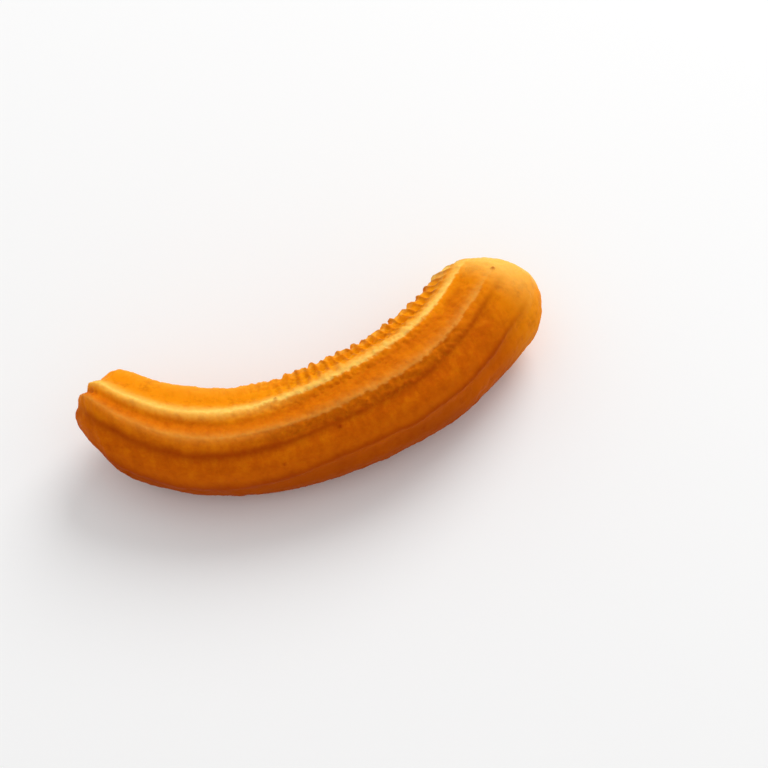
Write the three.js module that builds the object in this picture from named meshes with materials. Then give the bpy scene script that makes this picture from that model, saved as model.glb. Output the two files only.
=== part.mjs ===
// A churro: one ridged stick of fried dough, curved like a banana and lying on its side.
// It is thinner at its left end, which ends in lobes, and thicker at its smooth, rounded right end.
// Millimetres. +X runs along the chord from end to end, +Y points to the inside of the curve, +Z is up.
// The origin is on the surface that it lies on, under the middle of its box.
import * as THREE from 'three';
import { ParametricGeometry } from 'three/addons/geometries/ParametricGeometry.js';
import { mergeVertices } from 'three/addons/utils/BufferGeometryUtils.js';

// The middle line, seen from above. Angles are in degrees from +X.
const LENGTH = 107.2; // along the middle line, from tip to tip
const START_HEADING = -47.4; // of the middle line at its left end
const BEND = 78.8; // by which it has turned at its right end
const EARLY_BEND = 0.185; // share of the bend that comes sooner than on a circular arc

// The dough's girth, to the crests of the ridges.
const LEFT_RADIUS = 10.44;
const RIGHT_RADIUS = 12.25;
const BELLY = 0.4; // by which the middle is fuller than a plain taper
const SINK = 0.7; // by which the crests are flattened where they bear on the surface

// The ridges. Their angles are in degrees about the middle line: 0 faces the outside of the curve, 90 up.
const RIDGES = 9;
const FIRST_RIDGE = 43.5;
const TWIST = 48; // by which the ridges turn from the left end to the right
const WRUNG = 31; // further turn at the left end, where the stick was pulled off
const WRUNG_SHARE = 0.161; // of the length over which that dies away
const UNEVEN_SPACING = 1.84; // by which the ridges stray from even spacing
const EARLY_SPACING = 7.54; // further straying at the left end
const EARLY_SPACING_SHARE = 0.4; // of the length over which that dies away
const UNEVEN_HEIGHT = 0.02; // by which their heights differ, as a share of the radius
const GROOVE_DEPTH = 0.074; // share of the radius
const UNEVEN_DEPTH = 0.5; // share of that by which the grooves differ
const GROOVE_SHAPE = 3.2; // 2 is a plain wave; less makes the crests narrower than the grooves
const UNEVEN_SHAPE = 1.7; // by which that differs from the top of the dough to its underside
const GROOVE_LEAN = 0.15; // 0 is an even wave; more puts the bottom of a groove nearer the upper ridge
const FADE_START = 0.8; // share of the length where the grooves begin to fade into the right end
const FADE_END = 0.95;
const FADED_DEPTH = 0.2; // share of the depth that is left at the right end

// The dough sways slowly along its length.
const SWAY_PITCH = 47;
const SIDE_SWAY = 0.039; // share of the radius by which it bulges to one side and then another
const TURN_SWAY = 3.5; // degrees by which its twist runs ahead and then behind

// The teeth that the crests tear into. They are tallest on the inside of the curve.
const TOOTH_PITCH = 3.35;
const TOOTH_HEIGHT = 0.75;
const TOOTH_LEAN = 0.6; // 0 is a plain wave; more makes the left side of a tooth steeper
const UNEVEN_RHYTHM = 1.9; // radians by which the teeth run ahead and then behind
const RHYTHM_PITCH = 34;
const RHYTHM_START = 58; // where along the dough they run neither ahead nor behind
const OUT_OF_STEP = 5; // radians by which the teeth of one ridge lag behind those of another
const UNEVEN_TEETH = 0.45; // share of their height by which the teeth differ
const BEAT_PITCH = 11.4; // over which tall teeth follow low ones
const TEETH_START = 0.3; // share of the length where the teeth begin to grow
const TEETH_END = 0.48; // and where they are fully grown
const FIRST_TEETH = 0.15; // share of their height before they grow
const CALM = 0.04; // share of the teeth's height that is left on the outside of the curve
const INNER_KEENNESS = 6; // more keeps the teeth closer to the inside of the curve

// The ends are domes, cut askew. Each lobe of the left end is the end of a ridge.
const LEFT_DOME = 12.5;
const LEFT_BLUNTNESS = 1.78; // 1 is an ellipse; more makes the tip of the dome blunter
const LEFT_CLOSING = 1.23; // 1 is an ellipse; more makes the dome close in sooner
const LEFT_SKEW = 13.5; // degrees
const LEFT_SKEW_SHARE = 0.226; // of the length over which that dies away
const LEFT_LEAN = 0.69; // by which the top of the left end overhangs, as a share of its height
const LEFT_LEAN_SHARE = 0.295; // of the length over which that dies away
const NOTCH = 0.83; // depth of the notches between the lobes, as a share of the radius
const NOTCH_REACH = 2.08; // over which they die away
const NOTCH_SHAPE = 3.75; // more makes the notches narrower
const TORN_REACH = 5.54; // over which the grooves begin
const UNEVEN_LOBES = 0.165; // share of the radius by which the lobes' heights differ
const STAGGER = 2.6; // by which some lobes stop short and others reach on
const HOLLOW = 3.85; // by which the middle of the left end is pressed in
const RIGHT_DOME = 10.8;
const RIGHT_FULLNESS = 1.15;
const RIGHT_SKEW = 14; // degrees
const RIGHT_SKEW_START = 0.75; // share of the length where the right end begins to lean

// Where round the dough its unevenness peaks, in radians.
const SPACING_PHASE = 2.07;
const HEIGHT_PHASE = 2;
const SWAY_PHASE = -2.7;
const TWIST_PHASE = 0.554;
const DEEPEST_GROOVE = 1.5;
const NARROWEST_CREST = 1.05;
const LOBE_PHASE = 2.735;
const STAGGER_PHASE = 0.146;

// The mesh: a grid of points, each column of it along a ridge's crest, side or groove.
const COLUMNS_PER_RIDGE = 6;
const BODY_ROWS = 90;
const DOME_ROWS = 8;
const MIDDLE_LINE_STEPS = 400;

const DEGREE = Math.PI / 180;
const COLUMNS = RIDGES * COLUMNS_PER_RIDGE;
const ROWS = BODY_ROWS + 2 * DOME_ROWS;
const DOME_SHARE = DOME_ROWS / ROWS; // of the grid's rows

const { clamp, lerp, smoothstep } = THREE.MathUtils;

function heading(share) {
  return (START_HEADING + BEND * (share + EARLY_BEND * Math.sin(Math.PI * share ** 2))) * DEGREE;
}

// 1 at the left end, dying away over some reach.
function nearLeftEnd(distance, reach) {
  return Math.exp(-((distance / reach) ** 2));
}

// The way a section faces. It leans away from the middle line towards the ends.
function facing(share) {
  const left = LEFT_SKEW * nearLeftEnd(share, LEFT_SKEW_SHARE);
  const right = RIGHT_SKEW * smoothstep(share, RIGHT_SKEW_START, 1);
  return heading(share) + (left + right) * DEGREE;
}

// Follows the heading in short steps from the left tip.
function layMiddleLine() {
  const points = [new THREE.Vector3()];
  const step = LENGTH / MIDDLE_LINE_STEPS;
  for (let i = 0; i < MIDDLE_LINE_STEPS; i++) {
    const angle = heading((i + 0.5) / MIDDLE_LINE_STEPS);
    const next = new THREE.Vector3(Math.cos(angle), Math.sin(angle), 0).multiplyScalar(step);
    points.push(next.add(points[i]));
  }
  return new THREE.CatmullRomCurve3(points);
}

function girth(share) {
  return lerp(LEFT_RADIUS, RIGHT_RADIUS, smoothstep(share, 0, 1)) + BELLY * Math.sin(Math.PI * share);
}

// Where a column of the mesh lies about the middle line.
function turn(column, distance) {
  const share = distance / LENGTH;
  const spacing = UNEVEN_SPACING + EARLY_SPACING * nearLeftEnd(share, EARLY_SPACING_SHARE);
  const stray = spacing * Math.sin(3 * column + SPACING_PHASE);
  const wring = WRUNG * nearLeftEnd(share, WRUNG_SHARE);
  const sway = TURN_SWAY * Math.sin((2 * Math.PI * distance) / SWAY_PITCH + TWIST_PHASE);
  return column + (FIRST_RIDGE + TWIST * share + wring + stray + sway) * DEGREE;
}

// 0 on a crest, 1 at the bottom of a groove.
function grooveWave(column) {
  const around = column * RIDGES;
  return Math.abs(Math.sin((around - GROOVE_LEAN * (1 - Math.cos(around))) / 2));
}

function groove(column) {
  return grooveWave(column) ** (GROOVE_SHAPE - UNEVEN_SHAPE * Math.cos(column - NARROWEST_CREST));
}

function grooveDepth(column, distance) {
  const fade = lerp(1, FADED_DEPTH, smoothstep(distance / LENGTH, FADE_START, FADE_END));
  const uneven = 1 + UNEVEN_DEPTH * Math.cos(column - DEEPEST_GROOVE);
  return GROOVE_DEPTH * uneven * fade * (1 - nearLeftEnd(distance, TORN_REACH));
}

// The dough's height above its middle line, as a share of the girth, before the teeth.
function height(column, distance) {
  const uneven = UNEVEN_HEIGHT * Math.sin(3 * column + HEIGHT_PHASE);
  const sway = SIDE_SWAY * Math.cos(column + (2 * Math.PI * distance) / SWAY_PITCH + SWAY_PHASE);
  const lobes = UNEVEN_LOBES * nearLeftEnd(distance, TORN_REACH) * Math.sin(2 * column + LOBE_PHASE);
  return 1 + uneven + sway + lobes - grooveDepth(column, distance) * groove(column);
}

// How far a crest is torn down between its teeth, in millimetres.
function tear(column, distance, inside) {
  const rhythm = UNEVEN_RHYTHM * Math.sin((2 * Math.PI * (distance - RHYTHM_START)) / RHYTHM_PITCH);
  const along = (2 * Math.PI * distance) / TOOTH_PITCH + OUT_OF_STEP * Math.sin(column) - rhythm;
  const torn = 0.5 - 0.5 * Math.sin(along + TOOTH_LEAN * Math.sin(along));
  const grown = lerp(FIRST_TEETH, 1, smoothstep(distance / LENGTH, TEETH_START, TEETH_END));
  const uneven = 1 + UNEVEN_TEETH * Math.sin((2 * Math.PI * distance) / BEAT_PITCH + 2 * column);
  const inner = lerp(CALM, 1, inside ** INNER_KEENNESS);
  return TOOTH_HEIGHT * inner * grown * uneven * (1 - groove(column)) ** 2 * torn;
}

const middleLine = layMiddleLine();

// A point of the skin: u runs round the dough and v along it, both from 0 to 1.
function skin(u, v, target) {
  const column = -2 * Math.PI * u;
  const left = clamp(v / DOME_SHARE, 0, 1) * (Math.PI / 2);
  const right = clamp((1 - v) / DOME_SHARE, 0, 1) * (Math.PI / 2);
  const body = clamp((v - DOME_SHARE) / (1 - 2 * DOME_SHARE), 0, 1);
  const distance =
    LEFT_DOME * (1 - Math.cos(left) ** LEFT_BLUNTNESS) +
    (LENGTH - LEFT_DOME - RIGHT_DOME) * body +
    RIGHT_DOME * Math.cos(right) ** RIGHT_FULLNESS;
  const closing = Math.sin(left) ** LEFT_CLOSING * Math.sin(right) ** RIGHT_FULLNESS;

  const share = distance / LENGTH;
  const angle = turn(column, distance);
  const teeth = tear(column, distance, 0.5 - 0.5 * Math.cos(angle));
  const notch = NOTCH * Math.exp(-distance / NOTCH_REACH) * grooveWave(column) ** NOTCH_SHAPE;
  const radius = closing * (1 - notch) * (girth(share) * height(column, distance) - teeth);
  const lean = LEFT_LEAN * nearLeftEnd(share, LEFT_LEAN_SHARE);
  const stagger = STAGGER * nearLeftEnd(distance, TORN_REACH) * Math.sin(2 * column + STAGGER_PHASE);
  const pressed = HOLLOW * Math.cos(left) ** 4 + stagger * closing;
  const fallBack = pressed - lean * radius * Math.sin(angle);

  const across = radius * Math.cos(angle);
  middleLine.getPoint(share, target);
  target.x += across * Math.sin(facing(share)) + fallBack * Math.cos(heading(share));
  target.y += -across * Math.cos(facing(share)) + fallBack * Math.sin(heading(share));
  target.z = Math.max(girth(share) - SINK + radius * Math.sin(angle), 0);
}

// Joins the grid's seam and poles, and leaves out the faces that closed up there.
function closeUp(grid) {
  grid.deleteAttribute('normal');
  grid.deleteAttribute('uv');
  const joined = mergeVertices(grid, 1e-4);
  const corners = joined.index.array;
  const kept = [];
  for (let i = 0; i < corners.length; i += 3) {
    const [a, b, c] = corners.slice(i, i + 3);
    if (a !== b && b !== c && c !== a) kept.push(a, b, c);
  }
  joined.setIndex(kept);
  return joined;
}

function doughGeometry() {
  const geometry = closeUp(new ParametricGeometry(skin, COLUMNS, ROWS));
  geometry.computeBoundingBox();
  const centre = geometry.boundingBox.getCenter(new THREE.Vector3());
  geometry.translate(-centre.x, -centre.y, 0);
  geometry.computeVertexNormals();
  return geometry;
}

const friedDough = new THREE.MeshStandardMaterial({ color: 0xd9861c, roughness: 0.55, metalness: 0 });

const churro = new THREE.Mesh(doughGeometry(), friedDough);
churro.name = 'churro';

const part = new THREE.Group();
part.add(churro);

export default part;
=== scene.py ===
"""A churro: one ridged stick of fried dough, curved like a banana and lying on its side.

Sizes are in millimetres and angles in degrees. They become metres and radians where they are used.
+X runs along the chord from end to end, +Y points to the inside of the curve, +Z is up.
"""

import math

import bpy
from mathutils import Matrix, Vector


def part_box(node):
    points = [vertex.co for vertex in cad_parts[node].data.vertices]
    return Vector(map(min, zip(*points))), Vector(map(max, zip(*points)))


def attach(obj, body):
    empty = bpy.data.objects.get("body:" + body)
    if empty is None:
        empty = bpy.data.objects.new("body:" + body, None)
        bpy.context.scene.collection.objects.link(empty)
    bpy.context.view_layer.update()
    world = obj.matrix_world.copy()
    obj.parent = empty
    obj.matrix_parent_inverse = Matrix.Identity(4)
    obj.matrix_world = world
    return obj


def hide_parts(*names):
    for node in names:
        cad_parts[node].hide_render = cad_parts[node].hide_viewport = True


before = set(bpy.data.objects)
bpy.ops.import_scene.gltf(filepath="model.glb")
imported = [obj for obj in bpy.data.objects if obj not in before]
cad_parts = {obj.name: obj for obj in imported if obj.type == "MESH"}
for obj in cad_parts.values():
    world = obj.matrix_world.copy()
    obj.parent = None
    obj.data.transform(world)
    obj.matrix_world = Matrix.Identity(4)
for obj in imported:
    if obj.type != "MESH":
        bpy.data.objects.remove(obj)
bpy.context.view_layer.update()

MM = 0.001
DEGREE = math.pi / 180
TURN = 2 * math.pi

# The dough's sizes. Each is an input of the dough's tree, under its name here.
DOUGH = {
    # The middle line, seen from above.
    "Length": 107.2,
    "Start Heading": -47.4,
    "Bend": 78.8,
    "Early Bend": 0.185,
    # The girth, to the crests of the ridges.
    "Left Radius": 10.44,
    "Right Radius": 12.25,
    "Belly": 0.4,
    "Sink": 0.7,
    # The ridges. Angles about the middle line are 0 at the outside of the curve and 90 on top.
    "First Ridge": 43.5,
    "Twist": 48.0,
    "Wrung": 31.0,
    "Wrung Share": 0.161,
    "Uneven Spacing": 1.84,
    "Early Spacing": 7.54,
    "Early Spacing Share": 0.4,
    "Uneven Height": 0.02,
    "Groove Depth": 0.074,
    "Uneven Depth": 0.5,
    "Groove Shape": 3.2,
    "Uneven Shape": 1.7,
    "Groove Lean": 0.15,
    "Fade Start": 0.8,
    "Fade End": 0.95,
    "Faded Depth": 0.2,
    # The slow sway along the length.
    "Sway Pitch": 47.0,
    "Side Sway": 0.039,
    "Turn Sway": 3.5,
    # The teeth that the crests tear into.
    "Tooth Pitch": 3.35,
    "Tooth Height": 0.75,
    "Tooth Lean": 0.6,
    "Uneven Rhythm": 1.9,
    "Rhythm Pitch": 34.0,
    "Rhythm Start": 58.0,
    "Beat Pitch": 11.4,
    "Teeth Start": 0.3,
    "Teeth End": 0.48,
    "Uneven Teeth": 0.45,
    "Calm": 0.04,
    # The ends.
    "Left Dome": 12.5,
    "Left Bluntness": 1.78,
    "Left Closing": 1.23,
    "Left Skew": 13.5,
    "Left Skew Share": 0.226,
    "Left Lean": 0.69,
    "Left Lean Share": 0.295,
    "Notch": 0.83,
    "Notch Reach": 2.08,
    "Notch Shape": 3.75,
    "Torn Reach": 5.54,
    "Uneven Lobes": 0.165,
    "Stagger": 2.6,
    "Hollow": 3.85,
    "Right Dome": 10.8,
    "Right Fullness": 1.15,
    "Right Skew": 14.0,
    "Right Skew Start": 0.75,
    # The pale lips of the ridges, partly paler dough and partly painted highlight, in degrees above their
    # crests at the left end, how far they sink further on, and how ragged they get there.
    "Lip Lift": 3.0,
    "Lip Sinking": 4.5,
    "Upper Lip Sinking": 8.0,
    "Raggedness": 5.0,
    # The crust's own relief.
    "Lump Size": 9.0,
    "Lump Height": 0.35,
    "Bump Size": 3.2,
    "Bump Height": 0.3,
    "Crag Size": 1.5,
    "Crag Height": 0.8,
    "Streak Width": 1.1,
    "Streak Height": 0.25,
    "Grain Size": 0.7,
    "Grain Height": 0.12,
    # The creases in the lower grooves, sunk in and darkened with painted shade, in degrees above the
    # middle of the groove.
    "Crease Depth": 0.35,
    "Early Crease Shape": 9.0,
    "Crease Shape": 26.0,
    "Crease Lift": 6.5,
    "Low Crease Lift": 6.4,
    "Crease Wander": 3.0,
    # The crumbs that stand on the lower flank of a ridge.
    "Crumb Size": 1.0,
    "Crumb Height": 0.4,
    # The fine ribs on the inner face.
    "Rib Pitch": 2.3,
    "Rib Height": 0.16,
    "Pit Spacing": 7.0,
    "Pit Width": 0.7,
    "Pit Depth": 0.4,
}
# Where round the dough its unevenness peaks, in radians.
SPACING_PHASE = 2.07
HEIGHT_PHASE = 2.0
SWAY_PHASE = -2.7
TWIST_PHASE = 0.554
DEEPEST_GROOVE = 1.5
NARROWEST_CREST = 1.05
LOBE_PHASE = 2.735
STAGGER_PHASE = 0.146
UPPERMOST = 75 * DEGREE
# How often the ridges' unevenness peaks round the dough, and how often that of the lobes and teeth.
RIDGE_WAVES = 3.0
LOBE_WAVES = 2.0

# The teeth and the left end's hollow.
OUT_OF_STEP = 5.0  # radians by which the teeth of one ridge lag behind those of another
FIRST_TEETH = 0.15  # share of the teeth's height before they grow
INNER_KEENNESS = 6.0  # more keeps the teeth closer to the inside of the curve
HOLLOW_KEENNESS = 4.0  # more keeps the hollow closer to the tip

# The grid of points that is wrapped round the dough.
RIDGES = 9
COLUMNS_PER_RIDGE = 28
COLUMNS = RIDGES * COLUMNS_PER_RIDGE
DOME_ROWS = 52
BODY_ROWS = 280
ROWS = BODY_ROWS + 2 * DOME_ROWS
DOME_SHARE = DOME_ROWS / ROWS
MIDDLE_LINE_STEPS = 400
SAME_POINT = 0.002  # points that lie closer together than this become one

# Ranges over which something comes in or goes out: where that starts, and where it is complete.
# Those "along" are shares of the length. Those "up" are heights round the dough, which go from -1
# at its lowest column to 1 at its uppermost.
CRISP_ALONG = (0.35, 0.5)
LIPS_START_ALONG = (0.1, 0.35)
LIPS_END_ALONG = (0.86, 0.97)
LOW_LIPS_UP = (-0.1, 0.2)
HIGH_LIPS_UP = (0.5, 0.75)
CREASES_START_ALONG = (0.0, 0.15)
CREASES_END_UP = (0.1, 0.45)
CRUMBS_START_ALONG = (0.28, 0.45)
CRUMBS_END_ALONG = (0.72, 0.85)
CRUMBS_UP = (-0.3, 0.1)
RIBS_ALONG = (0.3, 0.5)
RIBS_UP = (0.8, 0.95)
EARLY_ALONG = (0.1, 0.5)
LATE_ALONG = (0.62, 0.85)
# Heights at which the crust turns from dark brown to golden: partly painted shade below and painted light
# on top.
BROWN_UP = (-0.9, -0.4)
AMBER_UP = (-0.05, 0.25)
GOLDEN_UP = (0.6, 0.8)
GOLDEN_ALONG = (0.8, 0.93)
# Where the top turns yellow: painted light that brightens the shaded teeth along the top.
YELLOW_UP = (0.88, 0.97)
YELLOW_ALONG = (0.3, 0.5)
GLINTS_UP = (-0.6, -0.1)
TOP_RIDGE_UP = (0.93, 0.985)
TOP_RIDGE_END_ALONG = (0.85, 0.93)
# Where the top of the right end takes a painted highlight.
END_TOP_UP = (0.86, 0.97)
END_TOP_ALONG = (0.76, 0.88)
TIP_UP = (-1.0, 0.3)
TIP_ALONG = (0.87, 0.95)
VERY_TIP_ALONG = (0.95, 0.995)
# Ranges of a wave across each ridge, of the way inwards, of the way to the back, and of a noise.
LIP_EDGE = (-0.45, -0.05)
FLANK_TOP = (0.25, -0.25)
FLANK_FOOT = (-0.65, -0.3)
ROUGH_INSIDE = (0.25, 0.6)
BEHIND = (0.2, 0.6)
CRUMB_EDGE = (-0.2, 0.3)

# The lips and the creases.
MEAN_RADIUS = 11.0  # at which the surface is unrolled for the noises that bend them
RAG_SIZE = 1.1
WANDER_SIZE = 6.0
EARLY_CREASE_LIFT = 0.45  # share of their lift that the creases have at the left end
LOW_CREASE = -48 * DEGREE  # where round the dough a crease is lifted further
LOW_CREASE_REACH = 14 * DEGREE  # over which that dies away

# The relief. The first three are shares of their full height: what the crags keep off the crumbly
# middle, what they keep off the inner crests, and what the streaks keep outside the curve.
CALM_CRAGS = 0.35
SMOOTH_CRAGS = 0.12
OUTER_STREAKS = 0.35
STREAK_SPREAD = 2.5  # less than the radius, so that the streaks run round the dough
RIB_STRAY = 2.5  # radians by which the ribs run ahead and then behind
RIB_STRAY_SIZE = 5.0

# The crust's colours. Those that run from dark brown low down to golden and yellow on top are partly
# the crust's own and partly painted shade below and painted light on top. The deepest brown is both
# random mottle and painted shade in the creases, grooves, ribs and pits.
DEEP_MOTTLE_AND_SHADE = (0.30, 0.030, 0.0005, 1.0)
DARK = (0.37, 0.060, 0.0005, 1.0)
BROWN = (0.56, 0.108, 0.001, 1.0)
AMBER = (0.70, 0.166, 0.002, 1.0)
GOLDEN = (0.93, 0.29, 0.003, 1.0)
PAINTED_LIGHT_YELLOW = (1.0, 0.34, 0.003, 1.0)
PALE_AND_HIGHLIGHT = (1.0, 0.62, 0.13, 1.0)
# The sizes of its noises.
BLOTCH_SIZE = 7.0
MOTTLE_SIZE = 2.8
SPECK_SIZE = 0.9
FINE_GRAIN_SIZE = 0.45
FINE_GRAIN_DEPTH = 0.06
# Its surface: how rough it is, how it shines, and the light that passes into it.
ROUGHNESS = 0.5
UNEVEN_ROUGHNESS = 0.12
SHINE = 0.012
SCATTERED = 0.15
SCATTER_REACH = 1.2
SCATTER_REACHES = (1.0, 0.4, 0.1)  # of red, green and blue, as shares of that
# By how much things shift the heights at which its colours change.
BLOTCHES_IN_HEIGHT = 0.16
SPECKS_IN_HEIGHT = 0.04
LATE_BROWN = 0.4
EARLY_BROWN = -0.1
EARLY_AMBER = 0.15
LATE_AMBER = 0.2
TIP_HEIGHT = 0.3  # the height whose colours close the right end
# How strongly each of them shows.
GOLDEN_END = 0.85
MOTTLE = 0.75
STREAKS_IN_MOTTLE = 0.2
# The lips' paleness, partly paler dough and partly painted highlight, stronger higher up.
LOW_LIPS = 0.25
HIGH_LIPS = 0.75
FIRST_LIPS = 0.75
TOP_RIDGE_DULLNESS = 0.75
SPECKS_IN_LIPS = 0.5
BLOTCHES_IN_LIPS = 0.3
# The painted highlight on top of the right end.
END_TOP_HIGHLIGHT = 0.75
TIP = 0.7
TIP_BEHIND = 0.4
# Painted shade in the creases, between the ribs, in the pits and at the foot of the grooves.
CREASE_SHADE = 0.6
RIB_SHADE = 0.55
PIT_SHADE = 0.8
GROOVE_SHADE = 0.1
LOW_CRUMBS = 0.5
# Painted shade between the crumbs.
HOLLOW_SHADE = 0.5
# More makes a lip narrower.
LOW_LIP_KEENNESS = 2.2
HIGH_LIP_KEENNESS = 1.4

# The view: the camera's place round the churro, and the point that it looks at.
AZIMUTH = -19.4
ELEVATION = 60.0
DISTANCE = 450.0
AIM = Vector((14.12, 3.39, 0.0))
LENS = 100.0
SENSOR = 36.0
NEAREST = 10.0
FARTHEST = 20000.0

# The light, turned round the aim from the camera's azimuth, and the glow from all round.
LIGHT_TURN = 155.0
LIGHT_ELEVATION = 40.0
LIGHT_DISTANCE = 1200.0
LIGHT_WIDTH = 800.0
LIGHT_WATTS = 7.5
GLOW = 0.74

# The floor.
FLOOR_RADIUS = 3000.0
FLOOR_SIDES = 96
NEAR_WHITE = (0.9, 0.9, 0.9, 1.0)


class Field:
    """A number or a vector that varies over a surface. Arithmetic on it adds nodes to its tree."""

    def __init__(self, socket):
        self.socket = socket

    def __add__(self, other):
        return calculate("ADD", self, other)

    __radd__ = __add__

    def __sub__(self, other):
        return calculate("SUBTRACT", self, other)

    def __rsub__(self, other):
        return calculate("SUBTRACT", other, self)

    def __mul__(self, other):
        return calculate("MULTIPLY", self, other)

    __rmul__ = __mul__

    def __truediv__(self, other):
        return calculate("DIVIDE", self, other)

    def __rtruediv__(self, other):
        return calculate("DIVIDE", other, self)

    def __pow__(self, other):
        return calculate("POWER", self, other)


def feed(tree, socket, value):
    """Links a field to an input, or sets the input to a plain value."""
    if isinstance(value, Field):
        tree.links.new(value.socket, socket)
    else:
        socket.default_value = value


def add_node(tree, kind, inputs=(), output=0, **settings):
    """Adds a node, feeds its inputs by name or number and returns one of its outputs."""
    node = tree.nodes.new(kind)
    for name, value in settings.items():
        setattr(node, name, value)
    for key, value in dict(inputs).items():
        feed(tree, node.inputs[key], value)
    return Field(node.outputs[output])


def calculate(operation, *values):
    """One Math node on two or three numbers, at least one of them a field."""
    tree = next(value.socket.id_data for value in values if isinstance(value, Field))
    return add_node(tree, "ShaderNodeMath", enumerate(values), operation=operation)


def sine(angle):
    return calculate("SINE", angle)


def cosine(angle):
    return calculate("COSINE", angle)


def between(low, high, share):
    return low + (high - low) * share


def smooth_step(value, start, end):
    """0 up to start, 1 from end on, and smooth between them."""
    tree = value.socket.id_data
    steps = {"Value": value, "From Min": start, "From Max": end, "To Min": 0.0, "To Max": 1.0}
    return add_node(tree, "ShaderNodeMapRange", steps, interpolation_type="SMOOTHSTEP")


def clamp(value):
    """Keeps a field between 0 and 1."""
    return calculate("MINIMUM", calculate("MAXIMUM", value, 0.0), 1.0)


def noise(place, size, detail=2.0, roughness=0.5):
    """Soft random lumps of one size, from about -1 to 1."""
    tree = place.socket.id_data
    inputs = {"Vector": place, "Scale": 1.0 / size, "Detail": detail, "Roughness": roughness}
    return add_node(tree, "ShaderNodeTexNoise", inputs) * 2.0 - 1.0


def combine(tree, x, y, z):
    return add_node(tree, "ShaderNodeCombineXYZ", enumerate((x, y, z)))


def moved(place, direction, distance):
    """A place moved some way in a direction."""
    tree = place.socket.id_data
    step = add_node(tree, "ShaderNodeVectorMath", {0: direction, "Scale": distance}, operation="SCALE")
    return add_node(tree, "ShaderNodeVectorMath", enumerate((place, step)), operation="ADD")


def parts_of(vector):
    """The X, Y and Z of a vector."""
    tree = vector.socket.id_data
    node = tree.nodes.new("ShaderNodeSeparateXYZ")
    tree.links.new(vector.socket, node.inputs[0])
    return [Field(output) for output in node.outputs]


def near_left_end(share, reach):
    return calculate("EXPONENT", ((share / reach) ** 2.0) * -1.0)


def heading(size, share):
    early = size["Early Bend"] * sine(share * share * math.pi)
    return (size["Start Heading"] + size["Bend"] * (share + early)) * DEGREE


def facing(size, share):
    left = size["Left Skew"] * near_left_end(share, size["Left Skew Share"])
    right = size["Right Skew"] * smooth_step(share, size["Right Skew Start"], 1.0)
    return heading(size, share) + (left + right) * DEGREE


def lay_middle_line(tree, size):
    """Follows the heading in short steps from the left tip."""
    line = add_node(tree, "GeometryNodeCurvePrimitiveLine")
    points = {"Curve": line, "Count": MIDDLE_LINE_STEPS + 1}
    line = add_node(tree, "GeometryNodeResampleCurve", points)
    index = add_node(tree, "GeometryNodeInputIndex")
    angle = heading(size, (index + 0.5) / MIDDLE_LINE_STEPS)
    step = size["Length"] / MIDDLE_LINE_STEPS
    stride = combine(tree, step * cosine(angle), step * sine(angle), 0.0)
    reached = add_node(
        tree, "GeometryNodeAccumulateField", {0: stride}, output="Trailing", data_type="FLOAT_VECTOR"
    )
    return add_node(tree, "GeometryNodeSetPosition", {"Geometry": line, "Position": reached})


def store_marks(tree, dough, marks):
    """Leaves values on the dough's points under their names, for later steps and for the crust."""
    for name, value in marks.items():
        stored_mark = {"Geometry": dough, "Name": name, "Value": value}
        dough = add_node(tree, "GeometryNodeStoreNamedAttribute", stored_mark)
    return dough


def tear_crests(size, distance, share, column, groove, inside):
    """How deep the crests are torn between their teeth. They are torn deepest inside the curve."""
    rhythm = size["Uneven Rhythm"] * sine((distance - size["Rhythm Start"]) / size["Rhythm Pitch"] * TURN)
    tooth = distance / size["Tooth Pitch"] * TURN + OUT_OF_STEP * sine(column) - rhythm
    tear = 0.5 - 0.5 * sine(tooth + size["Tooth Lean"] * sine(tooth))
    crest = (1.0 - groove) ** 2.0
    toothed = size["Tooth Height"] * between(size["Calm"], 1.0, inside**INNER_KEENNESS)
    beat = sine(distance / size["Beat Pitch"] * TURN + column * LOBE_WAVES)
    toothed = toothed * (1.0 + size["Uneven Teeth"] * beat)
    grown = smooth_step(share, size["Teeth Start"], size["Teeth End"])
    toothed = toothed * between(FIRST_TEETH, 1.0, grown)
    return toothed * crest * tear


def draw_marks(tree, size, distance, share, column, groove, torn):
    """The crests, grooves, creases, flanks and lips, and the place of each point on the dough."""
    crisp = smooth_step(share, *CRISP_ALONG)
    unrolled = combine(tree, distance, column * MEAN_RADIUS, 0.0)
    ragged = size["Raggedness"] * crisp * noise(unrolled, RAG_SIZE, detail=3.0, roughness=0.6)
    upper = cosine(column - UPPERMOST)
    high = smooth_step(upper, *HIGH_LIPS_UP)
    sinking = between(size["Lip Sinking"], size["Upper Lip Sinking"], high)
    lip_lift = size["Lip Lift"] - sinking * crisp + ragged
    lip_wave = (column - lip_lift * DEGREE) * RIDGES
    lip = 1.0 - calculate("ABSOLUTE", sine(lip_wave * 0.5))
    lip = lip * between(1.0, smooth_step(sine(lip_wave), *LIP_EDGE), crisp)
    flank = smooth_step(sine(lip_wave), *FLANK_TOP) * smooth_step(cosine(lip_wave), *FLANK_FOOT)
    faded = smooth_step(share, size["Fade Start"], size["Fade End"])

    wander = size["Crease Wander"] * noise(unrolled, WANDER_SIZE, detail=3.0)
    lifted = size["Crease Lift"] * between(EARLY_CREASE_LIFT, 1.0, crisp) + wander
    low = (column - LOW_CREASE) / LOW_CREASE_REACH
    lifted = lifted + size["Low Crease Lift"] * calculate("EXPONENT", low * low * -1.0)
    crease = calculate("ABSOLUTE", sine((column - lifted * DEGREE) * (RIDGES / 2)))
    crease = crease ** between(size["Early Crease Shape"], size["Crease Shape"], crisp)
    return {
        "crest": (1.0 - groove) * (1.0 - faded),
        "groove": groove * (1.0 - faded),
        "crease": crease * (1.0 - faded) * (1.0 - torn),
        "flank": flank,
        "lip": lip * (1.0 - smooth_step(share, *LIPS_END_ALONG)),
        "upper": upper,
        "behind": sine(column - UPPERMOST),
        "along": share,
    }


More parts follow.
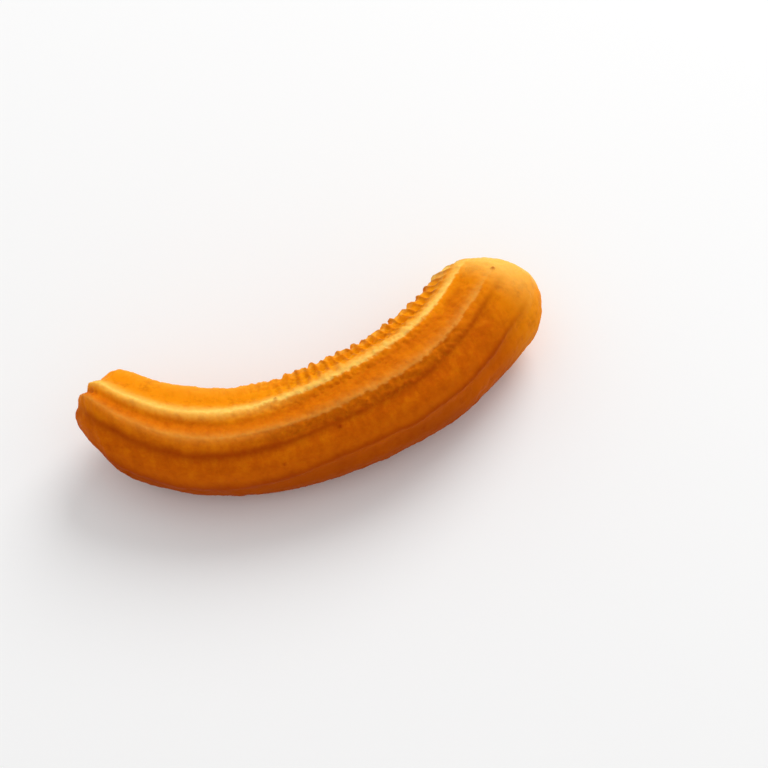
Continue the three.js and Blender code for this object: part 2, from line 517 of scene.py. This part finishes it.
def shape_dough(tree, size):
    """Wraps a grid round the middle line: its first side runs along the dough and its second round it."""
    grid_sizes = {"Size X": 1.0, "Size Y": 1.0, "Vertices X": ROWS + 1, "Vertices Y": COLUMNS + 1}
    grid = add_node(tree, "GeometryNodeMeshGrid", grid_sizes)
    x, y, _ = parts_of(add_node(tree, "GeometryNodeInputPosition"))
    along = x + 0.5
    column = (y + 0.5) * -TURN

    left = clamp(along / DOME_SHARE) * (math.pi / 2)
    right = clamp((1.0 - along) / DOME_SHARE) * (math.pi / 2)
    body = clamp((along - DOME_SHARE) / (1 - 2 * DOME_SHARE))
    left_rise = calculate("MAXIMUM", cosine(left), 0.0)
    right_rise = calculate("MAXIMUM", cosine(right), 0.0)
    distance = (
        size["Left Dome"] * (1.0 - left_rise ** size["Left Bluntness"])
        + (size["Length"] - size["Left Dome"] - size["Right Dome"]) * body
        + size["Right Dome"] * right_rise ** size["Right Fullness"]
    )
    closing = (sine(left) ** size["Left Closing"]) * (sine(right) ** size["Right Fullness"])
    share = distance / size["Length"]

    girth = between(size["Left Radius"], size["Right Radius"], smooth_step(share, 0.0, 1.0))
    girth = girth + size["Belly"] * sine(share * math.pi)

    wave = distance / size["Sway Pitch"] * TURN
    early_spacing = size["Early Spacing"] * near_left_end(share, size["Early Spacing Share"])
    stray = (size["Uneven Spacing"] + early_spacing) * sine(column * RIDGE_WAVES + SPACING_PHASE)
    wring = size["Wrung"] * near_left_end(share, size["Wrung Share"])
    turn_sway = size["Turn Sway"] * sine(wave + TWIST_PHASE)
    turned = size["First Ridge"] + size["Twist"] * share + wring + stray + turn_sway
    angle = column + turned * DEGREE

    wave_round = column * RIDGES
    leaning = wave_round - size["Groove Lean"] * (1.0 - cosine(wave_round))
    groove_wave = calculate("ABSOLUTE", sine(leaning * 0.5))
    narrow = cosine(column - NARROWEST_CREST)
    groove = groove_wave ** (size["Groove Shape"] - size["Uneven Shape"] * narrow)
    fade = between(1.0, size["Faded Depth"], smooth_step(share, size["Fade Start"], size["Fade End"]))
    torn = near_left_end(distance, size["Torn Reach"])
    uneven_depth = 1.0 + size["Uneven Depth"] * cosine(column - DEEPEST_GROOVE)
    depth = size["Groove Depth"] * uneven_depth * fade * (1.0 - torn)
    notch = size["Notch"] * calculate("EXPONENT", distance / size["Notch Reach"] * -1.0)
    notch = notch * groove_wave ** size["Notch Shape"]
    uneven = size["Uneven Height"] * sine(column * RIDGE_WAVES + HEIGHT_PHASE)
    side_sway = size["Side Sway"] * cosine(column + wave + SWAY_PHASE)
    lobes = size["Uneven Lobes"] * torn * sine(column * LOBE_WAVES + LOBE_PHASE)
    height = 1.0 + uneven + side_sway + lobes - depth * groove

    inside = 0.5 - 0.5 * cosine(angle)
    teeth = tear_crests(size, distance, share, column, groove, inside)

    radius = closing * (1.0 - notch) * (girth * height - teeth)
    lean = size["Left Lean"] * near_left_end(share, size["Left Lean Share"])
    stagger = size["Stagger"] * torn * sine(column * LOBE_WAVES + STAGGER_PHASE)
    pressed = size["Hollow"] * left_rise ** HOLLOW_KEENNESS + stagger * closing
    fall_back = pressed - lean * radius * sine(angle)

    middle = add_node(
        tree,
        "GeometryNodeSampleCurve",
        {"Curves": lay_middle_line(tree, size), "Factor": share},
        output="Position",
        mode="FACTOR",
    )
    middle_x, middle_y, _ = parts_of(middle)
    across = radius * cosine(angle)
    sideways = facing(size, share)
    ahead = heading(size, share)
    place = combine(
        tree,
        middle_x + across * sine(sideways) + fall_back * cosine(ahead),
        middle_y - across * cosine(sideways) + fall_back * sine(ahead),
        calculate("MAXIMUM", girth - size["Sink"] + radius * sine(angle), 0.0),
    )

    marks = draw_marks(tree, size, distance, share, column, groove, torn)
    marks["inside"] = inside
    marks["around"] = angle
    dough = store_marks(tree, grid, marks)
    dough = add_node(tree, "GeometryNodeSetPosition", {"Geometry": dough, "Position": place})
    closeness = {"Geometry": dough, "Distance": SAME_POINT}
    return add_node(tree, "GeometryNodeMergeByDistance", closeness)


def nearness(place, spacing, reach):
    """1 at random points that lie some spacing apart, falling to 0 at some reach from them."""
    tree = place.socket.id_data
    inputs = {"Vector": place, "Scale": 1.0 / spacing}
    distance = add_node(tree, "ShaderNodeTexVoronoi", inputs, output="Distance") * spacing
    return 1.0 - smooth_step(distance, 0.0, reach)


def roughen_dough(tree, size, dough):
    """Raises the crust's lumps, crags, crumbs, ribs and grain and sinks its creases and pits."""
    crest, inside, along, around, upper, crease, flank = (
        add_node(tree, "GeometryNodeInputNamedAttribute", {"Name": name})
        for name in ("crest", "inside", "along", "around", "upper", "crease", "flank")
    )
    place = add_node(tree, "GeometryNodeInputPosition")
    distance = along * size["Length"]
    lumps = noise(place, size["Lump Size"], detail=1.0) * size["Lump Height"]
    bumps = noise(place, size["Bump Size"]) * size["Bump Height"]
    grain = noise(place, size["Grain Size"], detail=1.0) * size["Grain Height"]
    pits = nearness(place, size["Pit Spacing"], size["Pit Width"])

    crumbly = smooth_step(along, *CRUMBS_START_ALONG) * (1.0 - smooth_step(along, *CRUMBS_END_ALONG))
    crags = noise(place, size["Crag Size"], detail=3.0, roughness=0.6) * size["Crag Height"]
    crags = crags * between(CALM_CRAGS, 1.0, crumbly)
    rough = crest * smooth_step(inside, *ROUGH_INSIDE)
    unrolled = combine(tree, distance, around * STREAK_SPREAD, 0.0)
    streak = noise(unrolled, size["Streak Width"])
    streaks = streak * size["Streak Height"] * between(OUTER_STREAKS, 1.0, inside)

    crumb = smooth_step(noise(place, size["Crumb Size"], roughness=0.6), *CRUMB_EDGE)
    crumbed = flank * crumbly * smooth_step(upper, *CRUMBS_UP)
    creased = crease * (1.0 - smooth_step(upper, *CREASES_END_UP))
    creased = creased * smooth_step(along, *CREASES_START_ALONG)
    stray = RIB_STRAY * noise(place, RIB_STRAY_SIZE, detail=1.0)
    ribbed = smooth_step(upper, *RIBS_UP) * smooth_step(along, *RIBS_ALONG)
    rib = sine(distance / size["Rib Pitch"] * TURN + stray) * ribbed

    relief = lumps + bumps + crags * between(SMOOTH_CRAGS, 1.0, rough) + streaks + grain
    relief = relief + size["Crumb Height"] * crumb * crumbed + size["Rib Height"] * rib
    relief = relief - size["Crease Depth"] * creased - size["Pit Depth"] * pits
    marks = {
        "streak": streak,
        "crumb": crumb * crumbed,
        "hollow": (1.0 - crumb) * crumbed,
        "crease": creased,
        "rib": (ribbed - rib) * 0.5,
        "pit": pits,
    }
    dough = store_marks(tree, dough, marks)
    normal = add_node(tree, "GeometryNodeInputNormal")
    x, y, z = parts_of(moved(place, normal, relief))
    grounded = combine(tree, x, y, calculate("MAXIMUM", z, 0.0))
    return add_node(tree, "GeometryNodeSetPosition", {"Geometry": dough, "Position": grounded})


def dough_tree(crust):
    """The tree that makes the dough, and the identifier of each of its inputs."""
    tree = bpy.data.node_groups.new("ridged dough", "GeometryNodeTree")
    sockets = {
        name: tree.interface.new_socket(name=name, in_out="INPUT", socket_type="NodeSocketFloat")
        for name in DOUGH
    }
    tree.interface.new_socket(name="Dough", in_out="OUTPUT", socket_type="NodeSocketGeometry")
    entry = tree.nodes.new("NodeGroupInput")
    size = {name: Field(entry.outputs[name]) for name in DOUGH}

    dough = roughen_dough(tree, size, shape_dough(tree, size))
    dough = add_node(tree, "GeometryNodeTransform", {"Geometry": dough, "Scale": (MM, MM, MM)})
    dough = add_node(tree, "GeometryNodeSetShadeSmooth", {"Geometry": dough})
    dough = add_node(tree, "GeometryNodeRealizeInstances", {"Geometry": dough})
    dough = add_node(tree, "GeometryNodeSetMaterial", {"Geometry": dough, "Material": crust})
    way_out = tree.nodes.new("NodeGroupOutput")
    tree.links.new(dough.socket, way_out.inputs[0])
    return tree, {name: socket.identifier for name, socket in sockets.items()}


def add_object(name, data):
    thing = bpy.data.objects.new(name, data)
    bpy.context.scene.collection.objects.link(thing)
    return thing


def make_churro(crust):
    """Runs the dough's tree, keeps its result as a plain mesh and lays it where the solid lies."""
    tree, identifiers = dough_tree(crust)
    blank = add_object("blank", bpy.data.meshes.new("blank"))
    modifier = blank.modifiers.new("ridged dough", "NODES")
    modifier.node_group = tree
    for name, value in DOUGH.items():
        modifier[identifiers[name]] = value
    blank.update_tag()
    evaluated = blank.evaluated_get(bpy.context.evaluated_depsgraph_get())
    mesh = bpy.data.meshes.new_from_object(evaluated)
    bpy.data.objects.remove(blank)

    mesh.name = "fried_churro"
    low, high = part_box("churro")
    corners = [vertex.co for vertex in mesh.vertices]
    for axis in (0, 1):
        values = [corner[axis] for corner in corners]
        shift = Vector((0, 0, 0))
        shift[axis] = (low[axis] + high[axis]) / 2 - (min(values) + max(values)) / 2
        mesh.transform(Matrix.Translation(shift))
    return add_object("fried_churro", mesh)


def shader_tree(material):
    """Clears a material and returns its tree and its one shader."""
    material.use_nodes = True
    tree = material.node_tree
    tree.nodes.clear()
    shader = tree.nodes.new("ShaderNodeBsdfPrincipled")
    way_out = tree.nodes.new("ShaderNodeOutputMaterial")
    tree.links.new(shader.outputs[0], way_out.inputs["Surface"])
    return tree, shader


def mix_colour(tree, low, high, share):
    inputs = {"Factor": share, 6: low, 7: high}
    return add_node(tree, "ShaderNodeMix", inputs, output=2, data_type="RGBA")


def stored(tree, name):
    """What the dough's tree left on the skin under a name."""
    return add_node(tree, "ShaderNodeAttribute", output="Fac", attribute_name=name)


def lay_colours(tree, colour, layers):
    """Lays further colours over a first one, each by its share."""
    for layer, share in layers:
        colour = mix_colour(tree, colour, layer, share)
    return colour


def crust_colour_and_painted_light(tree, along, above, upper):
    """Dark brown below, amber and golden further up, golden at the right end and yellow along the top:
    partly the crust's own colour, partly painted shade below and painted light on top.
    """
    early = 1.0 - smooth_step(along, *EARLY_ALONG)
    late = smooth_step(along, *LATE_ALONG)
    layers = (
        (BROWN, smooth_step(upper + LATE_BROWN * late + EARLY_BROWN * early, *BROWN_UP)),
        (AMBER, smooth_step(upper + EARLY_AMBER * early + LATE_AMBER * late, *AMBER_UP)),
        (GOLDEN, smooth_step(upper, *GOLDEN_UP)),
        (GOLDEN, smooth_step(along, *GOLDEN_ALONG) * GOLDEN_END),
        (PAINTED_LIGHT_YELLOW, smooth_step(above, *YELLOW_UP) * smooth_step(along, *YELLOW_ALONG)),
    )
    return lay_colours(tree, DARK, layers)


def mottle(tree, place, above, colour):
    """Lays deep brown mottle over a colour and, except low down, golden glints between it."""
    shade = MOTTLE * noise(place, MOTTLE_SIZE * MM, detail=4.0, roughness=0.7)
    shade = shade + STREAKS_IN_MOTTLE * stored(tree, "streak")
    glints = shade * smooth_step(above, *GLINTS_UP) * -1.0
    return lay_colours(tree, colour, ((DEEP_MOTTLE_AND_SHADE, clamp(shade)), (GOLDEN, clamp(glints))))


def paleness_and_highlight(tree, along, above, upper, high, uneven):
    """How pale the crust is: on the ridges' lips, partly paler dough and partly painted highlight; on top
    of the right end, a painted highlight; and at its tip.
    """
    top_ridge = smooth_step(above, *TOP_RIDGE_UP) * (1.0 - smooth_step(along, *TOP_RIDGE_END_ALONG))
    low_lips = LOW_LIPS * smooth_step(upper, *LOW_LIPS_UP)
    lip_height = low_lips + HIGH_LIPS * smooth_step(upper, *HIGH_LIPS_UP)
    lip_height = lip_height * (1.0 - TOP_RIDGE_DULLNESS * top_ridge)
    lip = stored(tree, "lip") ** between(LOW_LIP_KEENNESS, HIGH_LIP_KEENNESS, high)
    lip = lip * lip_height * between(FIRST_LIPS, 1.0, smooth_step(along, *LIPS_START_ALONG))

    front = 1.0 - smooth_step(stored(tree, "behind"), *BEHIND)
    end_top_highlight = smooth_step(along, *END_TOP_ALONG) * smooth_step(upper, *END_TOP_UP)
    end_top_highlight = end_top_highlight * front * (1.0 - top_ridge)
    tip = smooth_step(along, *TIP_ALONG) * smooth_step(upper, *TIP_UP) * between(TIP_BEHIND, 1.0, front)
    return clamp(lip * uneven + END_TOP_HIGHLIGHT * end_top_highlight + TIP * tip)


def colour_relief(tree, high, colour):
    """Darkens the creases, ribs, pits and grooves with painted shade, colours the crumbs, and darkens
    what is between them with painted shade.
    """
    painted_shade = CREASE_SHADE * stored(tree, "crease") + RIB_SHADE * stored(tree, "rib") ** 2.0
    painted_shade = painted_shade + PIT_SHADE * stored(tree, "pit") + GROOVE_SHADE * stored(tree, "groove") ** 3.0
    layers = (
        (DEEP_MOTTLE_AND_SHADE, clamp(painted_shade)),
        (AMBER, stored(tree, "crumb") * between(LOW_CRUMBS, 0.0, high)),
        (mix_colour(tree, DARK, AMBER, high), stored(tree, "hollow") * HOLLOW_SHADE),
    )
    return lay_colours(tree, colour, layers)


def fried_crust():
    """Fried dough: golden on the upper faces and darker brown further down, partly painted light and
    shade; pale on the ridges' lips, partly painted highlight; painted shade in its sunken places.
    """
    material = bpy.data.materials.new("fried_crust")
    tree, shader = shader_tree(material)
    place = add_node(tree, "ShaderNodeTexCoord", output="Object")
    blotches = noise(place, BLOTCH_SIZE * MM, detail=3.0)
    specks = noise(place, SPECK_SIZE * MM, detail=3.0, roughness=0.7)
    along = stored(tree, "along")
    above = between(stored(tree, "upper"), TIP_HEIGHT, smooth_step(along, *VERY_TIP_ALONG))
    upper = above + BLOTCHES_IN_HEIGHT * blotches + SPECKS_IN_HEIGHT * specks
    high = smooth_step(above, *HIGH_LIPS_UP)
    uneven = 1.0 + SPECKS_IN_LIPS * specks + BLOTCHES_IN_LIPS * blotches

    colour = mottle(tree, place, above, crust_colour_and_painted_light(tree, along, above, upper))
    colour = mix_colour(tree, colour, PALE_AND_HIGHLIGHT, paleness_and_highlight(tree, along, above, upper, high, uneven))
    feed(tree, shader.inputs["Base Color"], colour_relief(tree, high, colour))
    feed(tree, shader.inputs["Roughness"], clamp(ROUGHNESS + UNEVEN_ROUGHNESS * specks))
    shader.inputs["Specular IOR Level"].default_value = SHINE
    shader.inputs["Subsurface Weight"].default_value = SCATTERED
    shader.inputs["Subsurface Radius"].default_value = SCATTER_REACHES
    shader.inputs["Subsurface Scale"].default_value = SCATTER_REACH * MM

    fine = noise(place, FINE_GRAIN_SIZE * MM, detail=3.0, roughness=0.7)
    bump = {"Height": fine, "Strength": 0.5, "Distance": FINE_GRAIN_DEPTH * MM}
    feed(tree, shader.inputs["Normal"], add_node(tree, "ShaderNodeBump", bump))
    return material


def pale_floor():
    """A wide round floor, and its matt near-white finish."""
    material = bpy.data.materials.new("pale_floor")
    _, shader = shader_tree(material)
    shader.inputs["Base Color"].default_value = NEAR_WHITE
    shader.inputs["Roughness"].default_value = 0.8
    shader.inputs["Specular IOR Level"].default_value = 0.1
    bpy.ops.mesh.primitive_circle_add(
        vertices=FLOOR_SIDES, radius=FLOOR_RADIUS * MM, fill_type="NGON"
    )
    floor = bpy.context.object
    floor.name = "floor"
    floor.data.materials.append(material)
    return floor


def towards(azimuth, elevation):
    """The direction to a place round the churro. Azimuth 0 is in front, at -Y, and 90 at +X."""
    a = azimuth * DEGREE
    e = elevation * DEGREE
    return Vector((math.sin(a) * math.cos(e), -math.cos(a) * math.cos(e), math.sin(e)))


def put(thing, azimuth, elevation, distance):
    """Places a camera or a light round the aim, looking at it."""
    back = towards(azimuth, elevation)
    thing.location = (AIM + back * distance) * MM
    thing.rotation_euler = (-back).to_track_quat("-Z", "Y").to_euler()


def add_camera():
    data = bpy.data.cameras.new("camera")
    data.lens = LENS
    data.sensor_width = SENSOR
    data.clip_start = NEAREST * MM
    data.clip_end = FARTHEST * MM
    camera = add_object("camera", data)
    put(camera, AZIMUTH, ELEVATION, DISTANCE)
    bpy.context.scene.camera = camera


def light_studio():
    """One large soft light above and behind, and an even glow from all round."""
    data = bpy.data.lights.new("key light", "AREA")
    data.shape = "DISK"
    data.size = LIGHT_WIDTH * MM
    data.energy = LIGHT_WATTS
    put(add_object("key light", data), AZIMUTH + LIGHT_TURN, LIGHT_ELEVATION, LIGHT_DISTANCE)
    world = bpy.data.worlds.new("studio")
    world.use_nodes = True
    glow = world.node_tree.nodes["Background"]
    glow.inputs["Color"].default_value = (1, 1, 1, 1)
    glow.inputs["Strength"].default_value = GLOW
    bpy.context.scene.world = world
    bpy.context.scene.view_settings.view_transform = "Standard"


add_camera()
light_studio()
pale_floor()

churro = make_churro(fried_crust())
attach(churro, "root")
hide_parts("churro")
